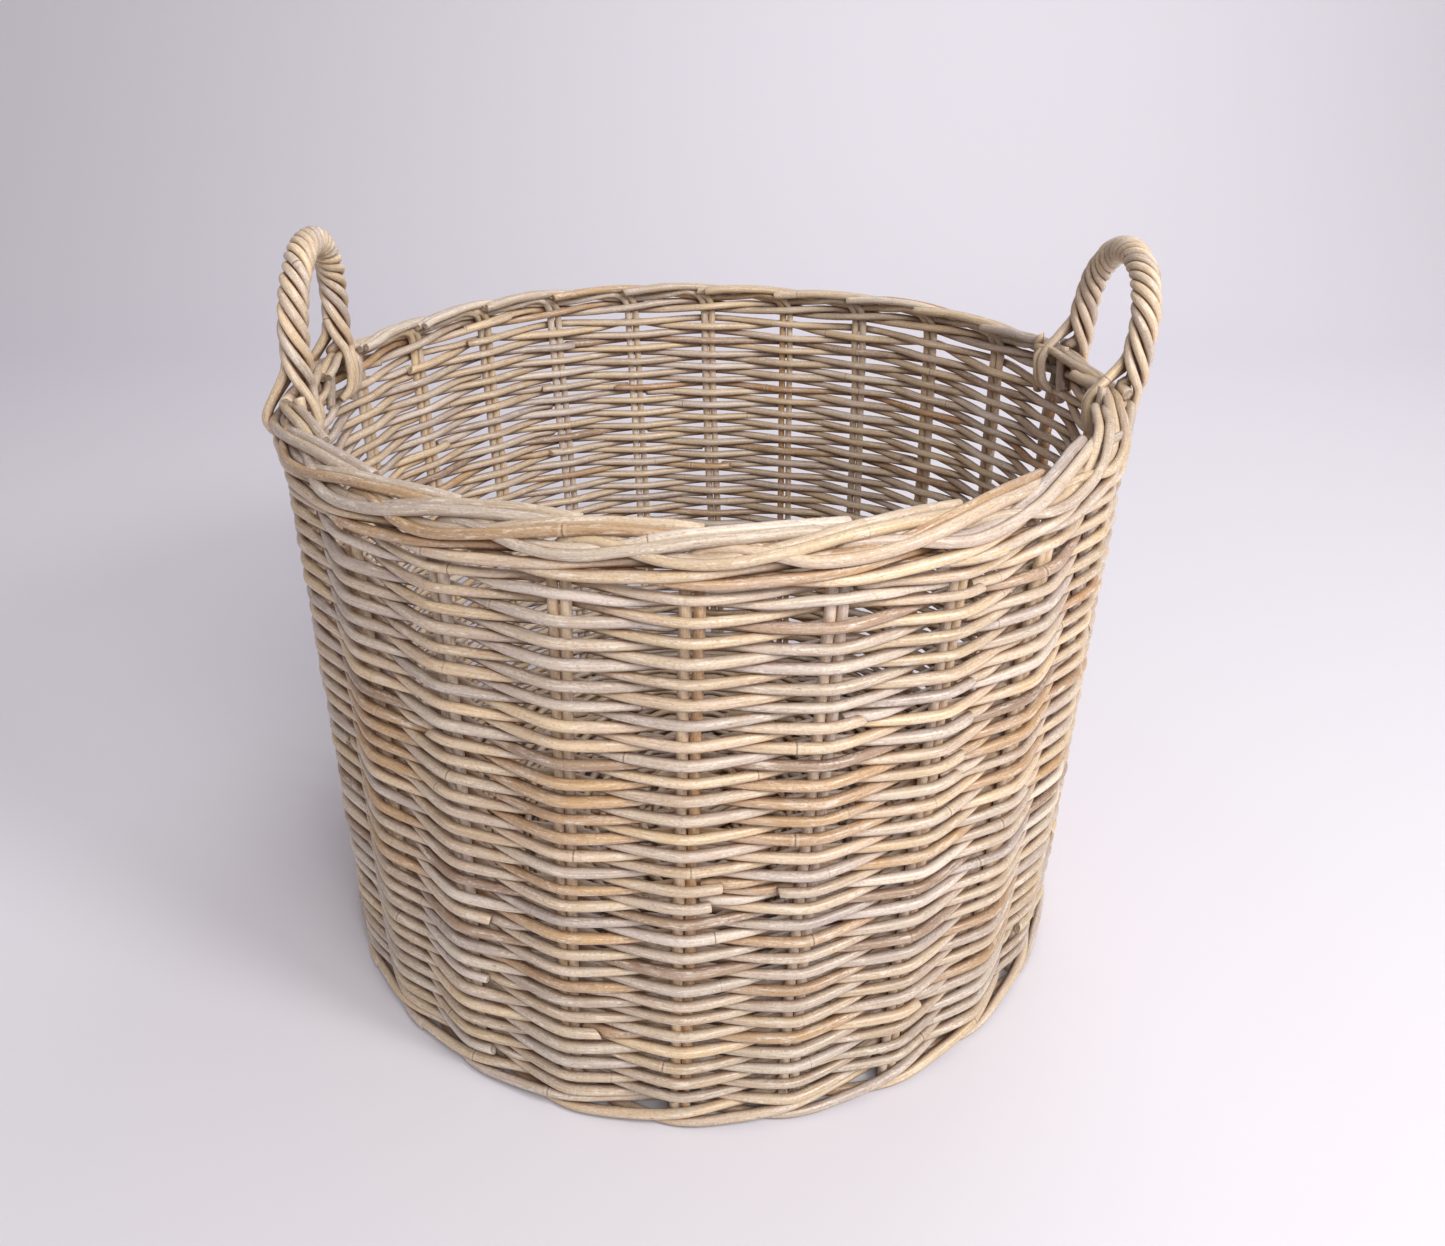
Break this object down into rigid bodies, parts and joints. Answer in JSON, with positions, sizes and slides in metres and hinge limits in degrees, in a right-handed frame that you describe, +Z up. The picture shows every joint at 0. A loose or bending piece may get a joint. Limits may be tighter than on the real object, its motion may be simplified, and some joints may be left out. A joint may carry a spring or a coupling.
{
  "type": "woven laundry basket",
  "caption": "Round, slightly tapered rattan laundry basket, woven over paired upright stakes, with a laid cane rim and two roped ear handles.",
  "frame": {"origin": "middle of the foot, on the surface that the basket stands on", "axes": "+Z up through the open mouth, +X towards the right-hand handle, -Y the front"},
  "size_m": [0.5758, 0.5502, 0.4847],
  "materials": {
    "base_cane": "satin",
    "stake_cane": "satin",
    "wale_cane": "satin",
    "weaver_cane": "satin",
    "border_cane": "satin",
    "handle_cane": "satin"
  },
  "bodies": {
    "root": {"foot_hoop": "base_cane", "base_sticks_lower": "base_cane", "base_sticks_upper": "base_cane", "base_weave_lower": "base_cane", "base_weave_upper": "base_cane", "side_stakes": "stake_cane", "bye_stakes": "stake_cane", "foot_wale_rod_1": "wale_cane", "foot_wale_rod_2": "wale_cane", "foot_wale_rod_3": "wale_cane", "weave_course_01": "weaver_cane", "weave_course_02": "weaver_cane", "weave_course_03": "weaver_cane", "weave_course_04": "weaver_cane", "weave_course_05": "weaver_cane", "weave_course_06": "weaver_cane", "weave_course_07": "weaver_cane", "weave_course_08": "weaver_cane", "weave_course_09": "weaver_cane", "weave_course_10": "weaver_cane", "weave_course_11": "weaver_cane", "weave_course_12": "weaver_cane", "weave_course_13": "weaver_cane", "weave_course_14": "weaver_cane", "weave_course_15": "weaver_cane", "weave_course_16": "weaver_cane", "weave_course_17": "weaver_cane", "weave_course_18": "weaver_cane", "weave_course_19": "weaver_cane", "weave_course_20": "weaver_cane", "weave_course_21": "weaver_cane", "weave_course_22": "weaver_cane", "weave_course_23": "weaver_cane", "weave_course_24": "weaver_cane", "weave_course_25": "weaver_cane", "weave_course_26": "weaver_cane", "weave_course_27": "weaver_cane", "weave_course_28": "weaver_cane", "weave_course_29": "weaver_cane", "top_wale_rod_1": "wale_cane", "top_wale_rod_2": "wale_cane", "top_wale_rod_3": "wale_cane", "border_lower_canes": "border_cane", "border_upper_canes": "border_cane", "handle_core_right": "handle_cane", "handle_rope_right": "handle_cane", "handle_core_left": "handle_cane", "handle_rope_left": "handle_cane"}
  },
  "joints": []
}
